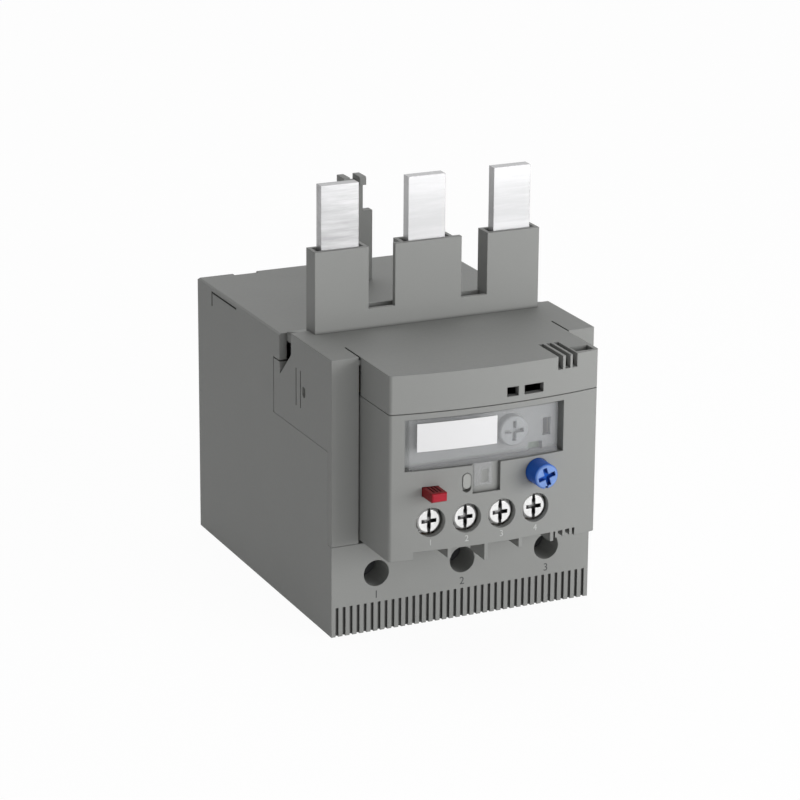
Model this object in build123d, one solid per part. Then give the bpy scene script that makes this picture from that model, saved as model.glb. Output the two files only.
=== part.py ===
from build123d import *
import math
import os

os.makedirs("parts", exist_ok=True)

# Three-pole thermal overload relay with tabs on top, sizes in millimetres.
# X runs to the right seen from the front, Y from the front to the rear, Z up.
# Depths (d) are counted backwards from the front plane of the lower housing.

# Housing
WIDTH = 70.0
BODY_DEPTH = 86.6
REAR_TOP = 68.2
DECK_RISE = 2.2
FACE_HEIGHT = 44.95
WALL = 2.0
REAR_WALL = 2.5
PARTITION = 1.6
TOP_CHAMFER = 0.5
JOINT_GAP = 0.1
SEAM_GAP = 0.4

HALF = WIDTH / 2
INSIDE = HALF - WALL
FRONT = -BODY_DEPTH / 2
SEAM_HEIGHT = REAR_TOP - FACE_HEIGHT
DECK_TOP = REAR_TOP + DECK_RISE
DECK_BOTTOM = DECK_TOP - WALL
POLE_PITCH = 0.33 * WIDTH
POLES = (-POLE_PITCH, 0.0, POLE_PITCH)

# Lower block with its ribs, screw bores and cable pockets
BLOCK_DEPTH = 28.0
RIB_COUNT = 37
RIB_PITCH = 0.0266 * WIDTH
RIB_GROOVE = 0.75
RIB_GROOVE_DEPTH = 0.8
RIB_HEIGHT = 0.3226 * SEAM_HEIGHT
SCREW_HEIGHT = 0.6452 * SEAM_HEIGHT
ACCESS_RADIUS = 3.35
POCKET_FRONT = 11.0
POCKET_DEPTH = 13.5
POCKET_WIDTH = 13.5
POCKET_TOP = SEAM_HEIGHT - 2.75
BULKHEAD = 46.8
BULKHEAD_WALL = 2.0

# Top housing: side walls, tongue and ramp
TONGUE_HEIGHT = 13.95
TONGUE_TOP = REAR_TOP - 7.2
TONGUE_BOTTOM = TONGUE_TOP - TONGUE_HEIGHT
TONGUE_END = 35.5
DECK_END = 24.6
RAMP_END = 32.0
SIDE_TOP_START = 32.0
TOP_WALL_START = 26.8

# Front module with its bowed face
MODULE_HALF = HALF - 7.5
MODULE_OUT = 16.6
BOW = 2.6
COLUMN_INNER = MODULE_HALF + SEAM_GAP
BAND_HEIGHT = 0.2113 * FACE_HEIGHT
BAND_WALL = 1.8
BAND_BOTTOM = DECK_TOP - BAND_HEIGHT
PANEL_WALL = 1.6
PANEL_TOP = BAND_BOTTOM - 0.2
PANEL_BOTTOM = SEAM_HEIGHT + 2.95
PANEL_HEIGHT = PANEL_TOP - PANEL_BOTTOM
LEG_BOTTOM = SEAM_HEIGHT + 0.95
LEG_INNER = MODULE_HALF - 6.0
CORNER_RADIUS = 0.9
BOW_RADIUS = (MODULE_HALF**2 + BOW**2) / (2 * BOW)

# Towers and tabs on the deck
TOWER_FRONT = 21.0
TOWER_DEPTH = 5.3
TOWER_WIDTH = 14.2
TOWER_HEIGHT = 20.55
TOWER_WALL = 1.0
TOWER_RIM = 1.1
TOWER_SIDE = 0.95
TOWER_PLATE_WIDTH = 17.9
TOWER_PLATE = 1.4
STRIP_HEIGHT = 4.9
TAB_WIDTH = 9.9
TAB_THICKNESS = 3.0
TAB_COIN = 0.15
TAB_RISE = 36.5
TAB_TOP = DECK_TOP + TAB_RISE
TAB_CLEARANCE = 0.2

# Recess behind the clear window
RECESS_LEFT = -MODULE_HALF + 3.7
RECESS_RIGHT = 17.6
RECESS_TOP = PANEL_TOP - 0.0406 * PANEL_HEIGHT
RECESS_HEIGHT = 0.371 * PANEL_HEIGHT
RECESS_BOTTOM = RECESS_TOP - RECESS_HEIGHT
RECESS_WALL = 1.2
FLOOR_FRONT = -MODULE_OUT + 2.1
FLOOR_THICKNESS = 1.4
FLOOR_BACK = FLOOR_FRONT + FLOOR_THICKNESS
WINDOW_GAP = 0.3
WINDOW_INSET = 0.2
WINDOW_THICKNESS = 1.2
WINDOW_LEFT = RECESS_LEFT + 1.2
WINDOW_RIGHT = RECESS_RIGHT - 1.6
HINGE_X = WINDOW_LEFT + 0.5
HINGE_RADIUS = 0.5
HINGE_LENGTH = 0.8
FIT = 0.05
LABEL_LEFT = WINDOW_LEFT + 1.85
LABEL_WIDTH = 20.25
LABEL_HEIGHT = 0.547 * RECESS_HEIGHT
LABEL_THICKNESS = 0.3
LATCH_X0 = -6.8
LATCH_X1 = 0.4
LATCH_DROP = 0.2105 * PANEL_HEIGHT
LATCH_DEPTH = 0.9
LATCH_THICKNESS = 0.6

# Setting dial with its cam
DIAL_X = 5.1
DIAL_Z = RECESS_BOTTOM + 0.492 * RECESS_HEIGHT
DIAL_RADIUS = 0.293 * RECESS_HEIGHT
DIAL_HEIGHT = 2.4
SHAFT_RADIUS = 2.0
SHAFT_END = 8.0
CAM_RADIUS = 3.0
CAM_RISE = 1.2
CAM_FRONT = 4.0
CAM_THICKNESS = 3.0

# Reset knob, stop button and test slide
BUTTON_Z = RECESS_BOTTOM - 0.1087 * PANEL_HEIGHT
KNOB_X = 10.4
KNOB_RADIUS = 0.0884 * PANEL_HEIGHT
KNOB_LENGTH = 8.0
BUTTON_OUT = 5.2
PLUNGER_RADIUS = 1.6
PLUNGER_END = 9.8
RESET_TRAVEL = 2.5
RESET_SEAT = -3.5
STOP_X = -17.45
STOP_Z = BUTTON_Z - 0.0449 * PANEL_HEIGHT
STOP_WIDTH = 4.0
STOP_HEIGHT = 2.2
STOP_TRAVEL = 2.0
STOP_SEAT = -4.0
STEM_RADIUS = 0.9
SEAT_WALL = 1.5
TEST_X = -8.33
TEST_Z = BUTTON_Z - 0.0015 * PANEL_HEIGHT
TEST_WIDTH = 2.05
TEST_HEIGHT = 0.1101 * PANEL_HEIGHT
SKIRT_DROP = 0.116 * PANEL_HEIGHT
TEST_TRAVEL = 0.8
TEST_GAP = 0.12
FLAG_X0 = 9.7
FLAG_X1 = 14.2
FLAG_TRAVEL = 2.4
FLAG_THICKNESS = 1.0

# Auxiliary terminals
AUX_LEFT = -17.3
AUX_PITCH = 9.15
AUX_X = [AUX_LEFT + AUX_PITCH * k for k in range(4)]
AUX_Z = PANEL_BOTTOM + 0.2072 * PANEL_HEIGHT
AUX_HOLE_RADIUS = 0.1058 * PANEL_HEIGHT
AUX_HEAD_RADIUS = AUX_HOLE_RADIUS - 0.55
AUX_HEAD_INSET = 1.0
AUX_HEAD_HEIGHT = 2.2
AUX_SHANK_RADIUS = 1.7
CLAMP_WIDTH = AUX_PITCH - 2.15
CLAMP_HEIGHT = 0.2029 * PANEL_HEIGHT
CLAMP_THICKNESS = 1.2
STRIP_WIDTH = 5.0
STRIP_THICKNESS = 1.0
WIRE_WIDTH = 7.0
WEB_WALL = 1.1
FIN_WALL = 0.9

# Mechanism frame and the parts it carries
FRAME_FRONT = 3.0
FRAME_DEPTH = 17.0
FRAME_WALL = 1.8
FRAME_HALF = INSIDE - JOINT_GAP
FRAME_TOP = PANEL_TOP - 0.9
FRAME_FLOOR = SEAM_HEIGHT + 6.35
FRAME_ARCH = SEAM_HEIGHT + 3.0
LEVER_X = 4.5
LEVER_D = 14.0
LEVER_END = 30.0
PIN_RADIUS = 1.2
LEVER_FIT = 0.05
ARM_WALL = 1.6
CARRIER_FRONT = 5.0
CARRIER_DEPTH = 3.5
BRIDGE_THICKNESS = 1.0
CONTACT_GAP = 0.05
OPEN_GAP = 1.25
SLIDE_TRAVEL = 1.6
SLIDE_GAP = 0.1
SLIDE_FRONT = 33.0
SLIDE_DEPTH = 3.0
SLIDE_HEIGHT = 2.8
LOWER_SLIDE_Z = FRAME_FLOOR - 2.0
UPPER_SLIDE_Z = LOWER_SLIDE_Z + SLIDE_HEIGHT + SLIDE_GAP

# Current path of one pole
FOOT_TOP = REAR_TOP - 7.2
FOOT_BOTTOM = FOOT_TOP - 3.0
BIMETAL_THICKNESS = 1.2
BIMETAL_FRONT = 36.8
BIMETAL_WIDTH = 6.4
FINGER_END = BIMETAL_FRONT + 2.7
COIL_RADIUS = 5.6
COIL_WIRE = 1.8
COIL_TURNS = 4
COIL_D = BIMETAL_FRONT + BIMETAL_WIDTH / 2
BAR_WIDTH = 9.0
BAR_THICKNESS = 2.5
BAR_FRONT = POCKET_FRONT + 2.6
BAR_TOP = SEAM_HEIGHT + BAR_THICKNESS
CLAMP_HALF = 6.65
CLAMP_WALL = 1.6
SCREW_RADIUS = 3.1
SCREW_HEAD = 3.4
SHANK_RADIUS = 2.5

# Mounting hook on the rear of the deck
HOOK_D = BODY_DEPTH - 18.1
HOOK_THICKNESS = 2.5
HOOK_FOOT_WIDTH = 11.6
HOOK_FOOT_RISE = 18.5
HOOK_FOOT_TOP = REAR_TOP + HOOK_FOOT_RISE
HOOK_STEM_WIDTH = 6.2
HOOK_SLIT = 2.6
HOOK_SLIT_DEPTH = 1.5
HOOK_RISE = 28.1
HOOK_TOP = REAR_TOP + HOOK_RISE
HOOK_NOSE = 2.1
HOOK_NOSE_HEIGHT = 2.2


def block(x0, x1, d0, d1, z0, z1):
    """Box between two corners."""
    centre = Pos((x0 + x1) / 2, FRONT + (d0 + d1) / 2, (z0 + z1) / 2)
    return centre * Box(x1 - x0, d1 - d0, z1 - z0)


def rod_y(x, z, radius, d0, d1):
    """Cylinder along Y."""
    return Pos(x, FRONT + (d0 + d1) / 2, z) * Rot(X=90) * Cylinder(radius, d1 - d0)


def rod_z(x, d, radius, z0, z1):
    """Cylinder along Z."""
    return Pos(x, FRONT + d, (z0 + z1) / 2) * Cylinder(radius, z1 - z0)


def side_profile(points, x0, x1):
    """Outline in depth and height, drawn out along X."""
    outline = Polyline(*[(FRONT + d, z) for d, z in points], close=True)
    face = Plane.YZ.offset(x0) * make_face(outline)
    return extrude(face, x1 - x0, dir=(1, 0, 0))


def plan_profile(curve, z0, z1):
    """Closed curve in the XY plane, drawn out along Z."""
    face = Pos(0, 0, z0) * make_face(curve.edges())
    return extrude(face, z1 - z0, dir=(0, 0, 1))


def face_depth(x, inset=0.0):
    """Depth at x of the surface that lies inset behind the bowed front."""
    centre = BOW_RADIUS - MODULE_OUT - BOW
    return centre - math.sqrt((BOW_RADIUS - inset) ** 2 - x**2)


def bow_point(x, inset):
    return (x, FRONT + face_depth(x, inset))


def bow_arc(x0, x1, inset):
    middle = (x0 + x1) / 2
    return ThreePointArc(bow_point(x0, inset), bow_point(middle, inset), bow_point(x1, inset))


def bowed_block(x0, x1, inset, back, z0, z1):
    """Solid with a bowed front and a flat back."""
    rest = Polyline(bow_point(x1, inset), (x1, FRONT + back), (x0, FRONT + back), bow_point(x0, inset))
    return plan_profile(bow_arc(x0, x1, inset) + rest, z0, z1)


def bowed_plate(x0, x1, inset0, inset1, z0, z1):
    """Plate that follows the bowed front between two insets."""
    ends = Line(bow_point(x0, inset0), bow_point(x0, inset1))
    ends += Line(bow_point(x1, inset0), bow_point(x1, inset1))
    return plan_profile(bow_arc(x0, x1, inset0) + bow_arc(x0, x1, inset1) + ends, z0, z1)


def mirrored(shape):
    """The shape with its mirror image across the middle plane."""
    return shape + mirror(shape, about=Plane.YZ)


def cross_recess(x, z, length, width, d0, d1, turn=0):
    """Tool recess of two crossed slots, turned about Y."""
    cross = Box(length, d1 - d0, width) + Box(width, d1 - d0, length)
    return Pos(x, FRONT + (d0 + d1) / 2, z) * Rot(Y=turn) * cross


def coil_z(radius, wire, turns, length, sides=8):
    """Coil of square wire along Z, each turn a ring of flat-sided lengths."""
    half = wire / 2
    section = ((radius - half, -half), (radius + half, -half), (radius + half, half), (radius - half, half))
    stations = []
    for k in range(turns * sides + 1):
        angle = 2 * math.pi * k / sides
        rise = length * k / (turns * sides)
        stations.append([Vector(r * math.cos(angle), r * math.sin(angle), rise + z) for r, z in section])
    faces = [Face(Wire.make_polygon(stations[0])), Face(Wire.make_polygon(stations[-1]))]
    for near, far in zip(stations, stations[1:]):
        for k in range(4):
            faces.append(Face(Wire.make_polygon([near[k - 1], near[k], far[k]])))
            faces.append(Face(Wire.make_polygon([near[k - 1], far[k], far[k - 1]])))
    return Solid(Shell(faces))


def spring_y(x, z, radius, wire, turns, d0, d1):
    """Coil spring along Y between two seats."""
    coil = coil_z(radius, wire, turns, d1 - d0 - wire)
    return Pos(x, FRONT + d0 + wire / 2, z) * Rot(X=-90) * coil


def save(node, *solids):
    """Write one node, as a group if it holds several solids."""
    shape = solids[0] if len(solids) == 1 else Compound(children=list(solids))
    export_step(shape, f"parts/{node}.step")


# Base housing: hollow box with a solid lower block at the front.
# Two partitions and a bulkhead divide it into three pole chambers.
base = block(-HALF, HALF, 0, BODY_DEPTH, 0, REAR_TOP)
top_edges = base.faces().sort_by(Axis.Z)[-1].edges().sort_by(Axis.Y)
base = chamfer(top_edges[1:], TOP_CHAMFER)
base -= block(-INSIDE, INSIDE, -1, BLOCK_DEPTH, SEAM_HEIGHT, REAR_TOP - WALL)
base -= block(-INSIDE, INSIDE, -1, TOP_WALL_START, REAR_TOP - WALL - 1, REAR_TOP + 1)
chamber_walls = (-INSIDE, -POLE_PITCH / 2, POLE_PITCH / 2, INSIDE)
for left, right in zip(chamber_walls, chamber_walls[1:]):
    x0 = left + (0 if left == -INSIDE else PARTITION / 2)
    x1 = right - (0 if right == INSIDE else PARTITION / 2)
    base -= block(x0, x1, BLOCK_DEPTH, BULKHEAD, REAR_WALL, REAR_TOP - WALL)
    base -= block(x0, x1, BULKHEAD + BULKHEAD_WALL, BODY_DEPTH - REAR_WALL, REAR_WALL, REAR_TOP - WALL)

# The slides pass the partitions in a notch.
slide_notch_top = UPPER_SLIDE_Z + SLIDE_HEIGHT + SLIDE_GAP
base -= block(
    -INSIDE, INSIDE, BLOCK_DEPTH, SLIDE_FRONT + SLIDE_DEPTH + SLIDE_GAP, LOWER_SLIDE_Z - SLIDE_GAP, slide_notch_top
)

# The side walls leave room for the columns, side walls and tongues of the top housing.
side_cut = side_profile(
    [
        (-1, TONGUE_BOTTOM - JOINT_GAP),
        (TONGUE_END + SEAM_GAP, TONGUE_BOTTOM - JOINT_GAP),
        (TONGUE_END + SEAM_GAP, TONGUE_TOP + SEAM_GAP),
        (SIDE_TOP_START, TONGUE_TOP + SEAM_GAP),
        (SIDE_TOP_START, REAR_TOP + 1),
        (-1, REAR_TOP + 1),
    ],
    INSIDE,
    HALF + 1,
)
column_cut = block(COLUMN_INNER - SEAM_GAP, HALF + 1, -1, WALL + JOINT_GAP, SEAM_HEIGHT, TONGUE_BOTTOM)
base -= mirrored(side_cut) + mirrored(column_cut)

# Ribs on the front edge.
for k in range(RIB_COUNT):
    x = (k - (RIB_COUNT - 1) / 2) * RIB_PITCH
    base -= block(x - RIB_GROOVE / 2, x + RIB_GROOVE / 2, -1, RIB_GROOVE_DEPTH, -1, RIB_HEIGHT)

# Cable pocket, screwdriver bore and slot for the load bar in each pole.
for x in POLES:
    base -= block(
        x - POCKET_WIDTH / 2, x + POCKET_WIDTH / 2, POCKET_FRONT, POCKET_FRONT + POCKET_DEPTH, -1, POCKET_TOP
    )
    base -= rod_y(x, SCREW_HEIGHT, ACCESS_RADIUS, -1, POCKET_FRONT + 0.5)
    base -= block(
        x - BAR_WIDTH / 2 - JOINT_GAP,
        x + BAR_WIDTH / 2 + JOINT_GAP,
        BAR_FRONT - JOINT_GAP,
        BAR_FRONT + BAR_THICKNESS + JOINT_GAP,
        POCKET_TOP - 1,
        SEAM_HEIGHT + 1,
    )

# Webs under the top wall hold the tab feet down.
for x in POLES:
    base += block(x - 2, x + 2, TOP_WALL_START + 1.5, TOP_WALL_START + 3.5, FOOT_TOP, REAR_TOP - WALL)
    base += block(x - TAB_WIDTH / 2, x + TAB_WIDTH / 2, BULKHEAD - 1.6, BULKHEAD, FOOT_TOP, FOOT_TOP + 1.6)

# Slot for the mounting hook, grip notch on the rear edge and grooves on the sides.
hook_back = HOOK_D + HOOK_THICKNESS / 2
hook_front = HOOK_D - HOOK_THICKNESS / 2
hook_half = HOOK_FOOT_WIDTH / 2
base -= block(-hook_half, hook_half, hook_front, hook_back, REAR_TOP - WALL - 1, REAR_TOP + 1)
base -= block(-25.4, -18.7, BODY_DEPTH - 1.8, BODY_DEPTH + 1, REAR_TOP - 1.8, REAR_TOP + 1)
mark = block(HALF - 0.5, HALF + 1, BODY_DEPTH - 26.6, BODY_DEPTH - 10.0, REAR_TOP - 1.6, REAR_TOP - 1.1)
mark += block(HALF - 0.5, HALF + 1, BODY_DEPTH - 10.3, BODY_DEPTH - 9.7, REAR_TOP - 5.0, REAR_TOP - 1.1)
base -= mirrored(mark)
save("base_housing", base)


# Top housing: deck with columns, side walls, tongues, towers and the band over the module.
column = block(COLUMN_INNER, HALF, 0, WALL, SEAM_HEIGHT + JOINT_GAP, DECK_TOP)
side_wall = side_profile(
    [
        (WALL, TONGUE_BOTTOM),
        (TONGUE_END, TONGUE_BOTTOM),
        (TONGUE_END, TONGUE_TOP),
        (RAMP_END - 0.2, TONGUE_TOP),
        (RAMP_END - 0.4, TONGUE_TOP - 3.0),
        (DECK_END, TONGUE_TOP + 3.84),
        (DECK_END, DECK_TOP),
        (WALL, DECK_TOP),
    ],
    INSIDE,
    HALF,
)
band = bowed_block(-MODULE_HALF, MODULE_HALF, 0, 0, BAND_BOTTOM, DECK_TOP)
band = fillet(band.edges().filter_by(Axis.Z).group_by(Axis.Y)[0], CORNER_RADIUS)
band_inside = MODULE_HALF - BAND_WALL
band -= bowed_block(-band_inside, band_inside, BAND_WALL, 1, BAND_BOTTOM - 1, DECK_BOTTOM)
top = block(-HALF, HALF, 0, DECK_END, DECK_BOTTOM, DECK_TOP) + band
top += mirrored(column) + mirrored(side_wall)
top += side_profile(
    [
        (DECK_END - 1, REAR_TOP + JOINT_GAP),
        (RAMP_END, REAR_TOP + JOINT_GAP),
        (RAMP_END, REAR_TOP + JOINT_GAP + 0.2),
        (DECK_END, DECK_TOP),
        (DECK_END - 1, DECK_TOP),
    ],
    -INSIDE,
    INSIDE,
)

# Towers around the tabs, joined by a low open channel.
tower_back = TOWER_FRONT + TOWER_DEPTH
tower_top = DECK_TOP + TOWER_HEIGHT
strip_top = DECK_TOP + STRIP_HEIGHT
for x in POLES:
    half = TOWER_WIDTH / 2
    top += block(x - half, x + half, TOWER_FRONT, tower_back, DECK_BOTTOM, tower_top)
plate_half = TOWER_PLATE_WIDTH / 2
top += block(-plate_half, plate_half, TOWER_FRONT, TOWER_FRONT + TOWER_PLATE, DECK_BOTTOM, tower_top)
row_half = POLE_PITCH + TOWER_WIDTH / 2
top += block(-row_half, row_half, TOWER_FRONT, TOWER_FRONT + TOWER_WALL, DECK_BOTTOM, strip_top)
top += block(-row_half, row_half, tower_back - TOWER_WALL, tower_back, DECK_BOTTOM + 0.6, strip_top)
tab_half = TAB_WIDTH / 2 + TAB_CLEARANCE
tab_front = TOWER_FRONT + TOWER_RIM
tab_back = tab_front + TAB_THICKNESS
cavity_back = TOWER_FRONT + TOWER_DEPTH - TOWER_SIDE + 0.15
for x in POLES:
    cavity = TOWER_WIDTH / 2 - TOWER_SIDE
    top -= block(x - cavity, x + cavity, tab_front, cavity_back, DECK_TOP + 2, tower_top + 1)
    top -= block(
        x - tab_half, x + tab_half, tab_front, tab_back + TAB_CLEARANCE, DECK_BOTTOM - 1, DECK_TOP + 3
    )

# Slots, pit and sight holes over the module, seams beside it and grips on the sides.
for x in (16.4, 18.5, 20.5):
    top -= block(x - 0.675, x + 0.675, -MODULE_OUT - BOW - 1, -MODULE_OUT + 9.0, DECK_TOP - 3.3, DECK_TOP + 1)
top -= block(21.6, 26.4, -MODULE_OUT + 0.5, -MODULE_OUT + 4.0, DECK_TOP - 3.3, DECK_TOP + 1)
for x0, x1 in ((1.85, 4.95), (6.5, 11.7)):
    sight_z = BAND_BOTTOM + 1.5
    top -= block(x0, x1, -MODULE_OUT - BOW - 1, -MODULE_OUT + 1, sight_z, sight_z + 2.3)
top -= mirrored(block(MODULE_HALF, MODULE_HALF + 0.5, -0.5, 8.6, DECK_TOP - 0.8, DECK_TOP + 1))
side_hole = Pos(HALF, FRONT + 16.8, DECK_TOP - 12.8) * Rot(Y=90) * extrude(SlotOverall(2.8, 1.9), 3, both=True)
grips = block(HALF - 0.4, HALF + 1, 21.3, 21.7, DECK_TOP - 17.4, DECK_TOP - 7.9)
grips += block(HALF - 0.4, HALF + 1, 18.55, 18.95, DECK_TOP - 17.4, DECK_TOP - 7.9)
top -= mirrored(side_hole + grips)
save("top_housing", top)


# Front panel: bowed shell held behind the columns, with the recess for the window.
panel = bowed_block(-MODULE_HALF, MODULE_HALF, 0, FRAME_FRONT, LEG_BOTTOM, PANEL_TOP)
panel = fillet(panel.edges().filter_by(Axis.Z).group_by(Axis.Y)[0], CORNER_RADIUS)
panel_inside = MODULE_HALF - PANEL_WALL
panel -= bowed_block(-panel_inside, panel_inside, PANEL_WALL, FRAME_FRONT + 1, LEG_BOTTOM - 1, PANEL_TOP + 1)
panel -= block(-LEG_INNER, LEG_INNER, -MODULE_OUT - BOW - 1, 0, LEG_BOTTOM - 1, PANEL_BOTTOM)
panel += bowed_block(
    -panel_inside, panel_inside, PANEL_WALL / 2, FRAME_FRONT - JOINT_GAP, PANEL_BOTTOM, PANEL_BOTTOM + PANEL_WALL
)
flange = block(panel_inside, FRAME_HALF - 0.9, WALL + JOINT_GAP, FRAME_FRONT, AUX_Z - 3, RECESS_TOP - 2)
panel += mirrored(flange)
panel += bowed_block(
    RECESS_LEFT - RECESS_WALL,
    RECESS_RIGHT + RECESS_WALL,
    PANEL_WALL / 2,
    FLOOR_BACK,
    RECESS_BOTTOM - RECESS_WALL,
    RECESS_TOP + RECESS_WALL,
)
out = -MODULE_OUT - BOW - 1
panel -= block(RECESS_LEFT, RECESS_RIGHT, out, FLOOR_FRONT, RECESS_BOTTOM, RECESS_TOP)

# Guides behind the stop button and the reset knob.
guide_half = STOP_WIDTH / 2 + 1.65
guide_rise = SKIRT_DROP
stop_guide = bowed_block(
    STOP_X - guide_half,
    STOP_X + guide_half,
    PANEL_WALL / 2,
    STOP_SEAT + SEAT_WALL,
    STOP_Z - guide_rise,
    STOP_Z + guide_rise,
)
stop_guide -= block(STOP_X - 2.45, STOP_X + 2.45, -MODULE_OUT - BOW, STOP_SEAT, STOP_Z - 2.8, STOP_Z + 2.8)
knob_guide = bowed_block(
    KNOB_X - 3.9, KNOB_X + 3.9, PANEL_WALL / 2, RESET_SEAT + SEAT_WALL, BUTTON_Z - KNOB_RADIUS - 0.45, BUTTON_Z + 2.4
)
knob_guide -= block(KNOB_X - 2.8, KNOB_X + 2.8, -MODULE_OUT - BOW, RESET_SEAT, BUTTON_Z - 4, BUTTON_Z + 3)
knob_guide -= rod_y(KNOB_X, BUTTON_Z, KNOB_RADIUS + 2 * FIT, -MODULE_OUT - BOW, -MODULE_OUT + 7.0)
panel += stop_guide + knob_guide
knob_front = face_depth(KNOB_X) - BUTTON_OUT
knob_back = knob_front + KNOB_LENGTH
panel -= rod_y(KNOB_X, BUTTON_Z, KNOB_RADIUS + 2 * FIT, out, knob_back + RESET_TRAVEL + 0.2)
panel -= rod_y(KNOB_X, BUTTON_Z, PLUNGER_RADIUS + FIT, RESET_SEAT - 1, RESET_SEAT + SEAT_WALL + 1)
panel -= rod_y(STOP_X, STOP_Z, STEM_RADIUS + FIT, STOP_SEAT - 1, STOP_SEAT + SEAT_WALL + 1)
stop_half = STOP_WIDTH / 2 + 0.1
stop_rise = STOP_HEIGHT / 2 + 0.1
panel -= block(STOP_X - stop_half, STOP_X + stop_half, out, -MODULE_OUT + 1, STOP_Z - stop_rise, STOP_Z + stop_rise)

# Slot and rails of the test slide, pocket of the latch and webs between the terminals.
skirt_front = face_depth(-10.1, PANEL_WALL) + 0.08
skirt_half = 1.75
rail_left = TEST_X - skirt_half - 0.9
rail_bottom = TEST_Z - 0.1594 * PANEL_HEIGHT
rail = block(rail_left, TEST_X - skirt_half - 0.1, skirt_front - 1.0, skirt_front + 1.8, rail_bottom, TEST_Z + 2.2)
rail += block(rail_left, TEST_X - 1.1, skirt_front + 0.9, skirt_front + 1.8, rail_bottom, TEST_Z + 2.2)
panel += rail + mirror(rail, about=Plane.YZ.offset(TEST_X))
test_slot = SlotOverall(TEST_HEIGHT + TEST_TRAVEL + 2 * TEST_GAP, TEST_WIDTH + 2 * TEST_GAP, rotation=90)
test_slot_face = Plane.XZ.offset(-FRONT - skirt_front) * Pos(TEST_X, TEST_Z - TEST_TRAVEL / 2) * test_slot
panel -= extrude(test_slot_face, skirt_front - out, dir=(0, -1, 0))
latch_bottom = RECESS_BOTTOM + 0.1 - LATCH_DROP
panel -= bowed_plate(LATCH_X0, LATCH_X1, -1, LATCH_DEPTH, latch_bottom, RECESS_BOTTOM + 1)
for k in range(5):
    x = AUX_X[0] + AUX_PITCH * (k - 0.5)
    web_x = x - WEB_WALL / 2
    panel += bowed_block(
        web_x, web_x + WEB_WALL, PANEL_WALL / 2, -MODULE_OUT + 8, PANEL_BOTTOM + 1, AUX_Z + CLAMP_HEIGHT / 2 + 0.3
    )
for x in AUX_X:
    panel -= rod_y(x, AUX_Z, AUX_HOLE_RADIUS, out, face_depth(x, PANEL_WALL) + 0.6)
    panel -= block(
        x - WIRE_WIDTH / 2, x + WIRE_WIDTH / 2, -MODULE_OUT + 0.6, -MODULE_OUT + 5.4, PANEL_BOTTOM - 1, PANEL_BOTTOM + 3
    )

# Openings in the recess floor: dial shaft, trip flag and adjusting slot.
panel -= rod_y(DIAL_X, DIAL_Z, SHAFT_RADIUS + FIT, FLOOR_FRONT - 1, FLOOR_BACK + 1)
flag_bottom = RECESS_BOTTOM - RECESS_WALL + 0.3
panel -= block(
    FLAG_X0 + 0.4, FLAG_X1 - 0.4, FLOOR_FRONT - 1, FLOOR_BACK + 1, RECESS_BOTTOM, RECESS_BOTTOM + 2.0
)
panel -= block(13.9, 16.0, FLOOR_FRONT - 1, FLOOR_BACK + 1, RECESS_BOTTOM + 3.3, RECESS_BOTTOM + 7.7)
flag_rail = block(
    FLAG_X0 - 0.9, FLAG_X0 - 0.1, FLOOR_BACK, FLOOR_BACK + 2.0, RECESS_BOTTOM - RECESS_WALL, RECESS_BOTTOM + 2.8
)
flag_rail += block(
    FLAG_X0 - 0.9, FLAG_X0 + 0.6, FLOOR_BACK + 1.2, FLOOR_BACK + 2.0, RECESS_BOTTOM - RECESS_WALL, RECESS_BOTTOM + 2.8
)
panel += flag_rail + mirror(flag_rail, about=Plane.YZ.offset((FLAG_X0 + FLAG_X1) / 2))

# Bearings of the window hinge.
hinge_d = face_depth(HINGE_X, WINDOW_INSET + WINDOW_THICKNESS / 2)
panel -= rod_z(HINGE_X, hinge_d, HINGE_RADIUS + FIT, RECESS_BOTTOM - HINGE_LENGTH - 0.1, RECESS_BOTTOM + 1)
panel -= rod_z(HINGE_X, hinge_d, HINGE_RADIUS + FIT, RECESS_TOP - 1, RECESS_TOP + HINGE_LENGTH + 0.1)

# Fins and small ribs under the lower edge.
for x0, drop in ((-13.0, 2.3), (-3.5, 4.1), (5.7, 2.3), (14.5, 2.3)):
    panel += bowed_block(x0, x0 + FIN_WALL, 0, -MODULE_OUT + 5.0, PANEL_BOTTOM - drop, PANEL_BOTTOM + 0.5)
for x0 in (15.9, 18.0, 20.0):
    panel += bowed_block(x0, x0 + 0.8, 0, -MODULE_OUT + 1.5, PANEL_BOTTOM - 1.6, PANEL_BOTTOM + 0.5)
save("front_panel", panel)


# Clear window that turns on two pins, with the label in a pocket of its face.
window_bottom = RECESS_BOTTOM + WINDOW_GAP
window_top = RECESS_TOP - WINDOW_GAP
window_back = WINDOW_INSET + WINDOW_THICKNESS
window = bowed_plate(WINDOW_LEFT, WINDOW_RIGHT, WINDOW_INSET, window_back, window_bottom, window_top)
window += rod_z(HINGE_X, hinge_d, HINGE_RADIUS, RECESS_BOTTOM - HINGE_LENGTH, RECESS_TOP + HINGE_LENGTH)
finger_bottom = latch_bottom + 1.7
window += bowed_plate(
    LATCH_X0 + 0.45, LATCH_X1 - 2.0, WINDOW_INSET, WINDOW_INSET + LATCH_THICKNESS, finger_bottom, window_bottom + 1
)
window -= block(LATCH_X0 + 2.35, LATCH_X1 - 2.9, out, -MODULE_OUT, finger_bottom + 0.7, finger_bottom + 3.9)
label_top = window_top - 0.9
label_box = (LABEL_LEFT, LABEL_LEFT + LABEL_WIDTH)
label_inset = WINDOW_INSET + LABEL_THICKNESS
window -= bowed_plate(*label_box, WINDOW_INSET - 1, label_inset, label_top - LABEL_HEIGHT, label_top)
save("setting_window", window)
save("label_plate", bowed_plate(*label_box, WINDOW_INSET, label_inset, label_top - LABEL_HEIGHT, label_top))

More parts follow.
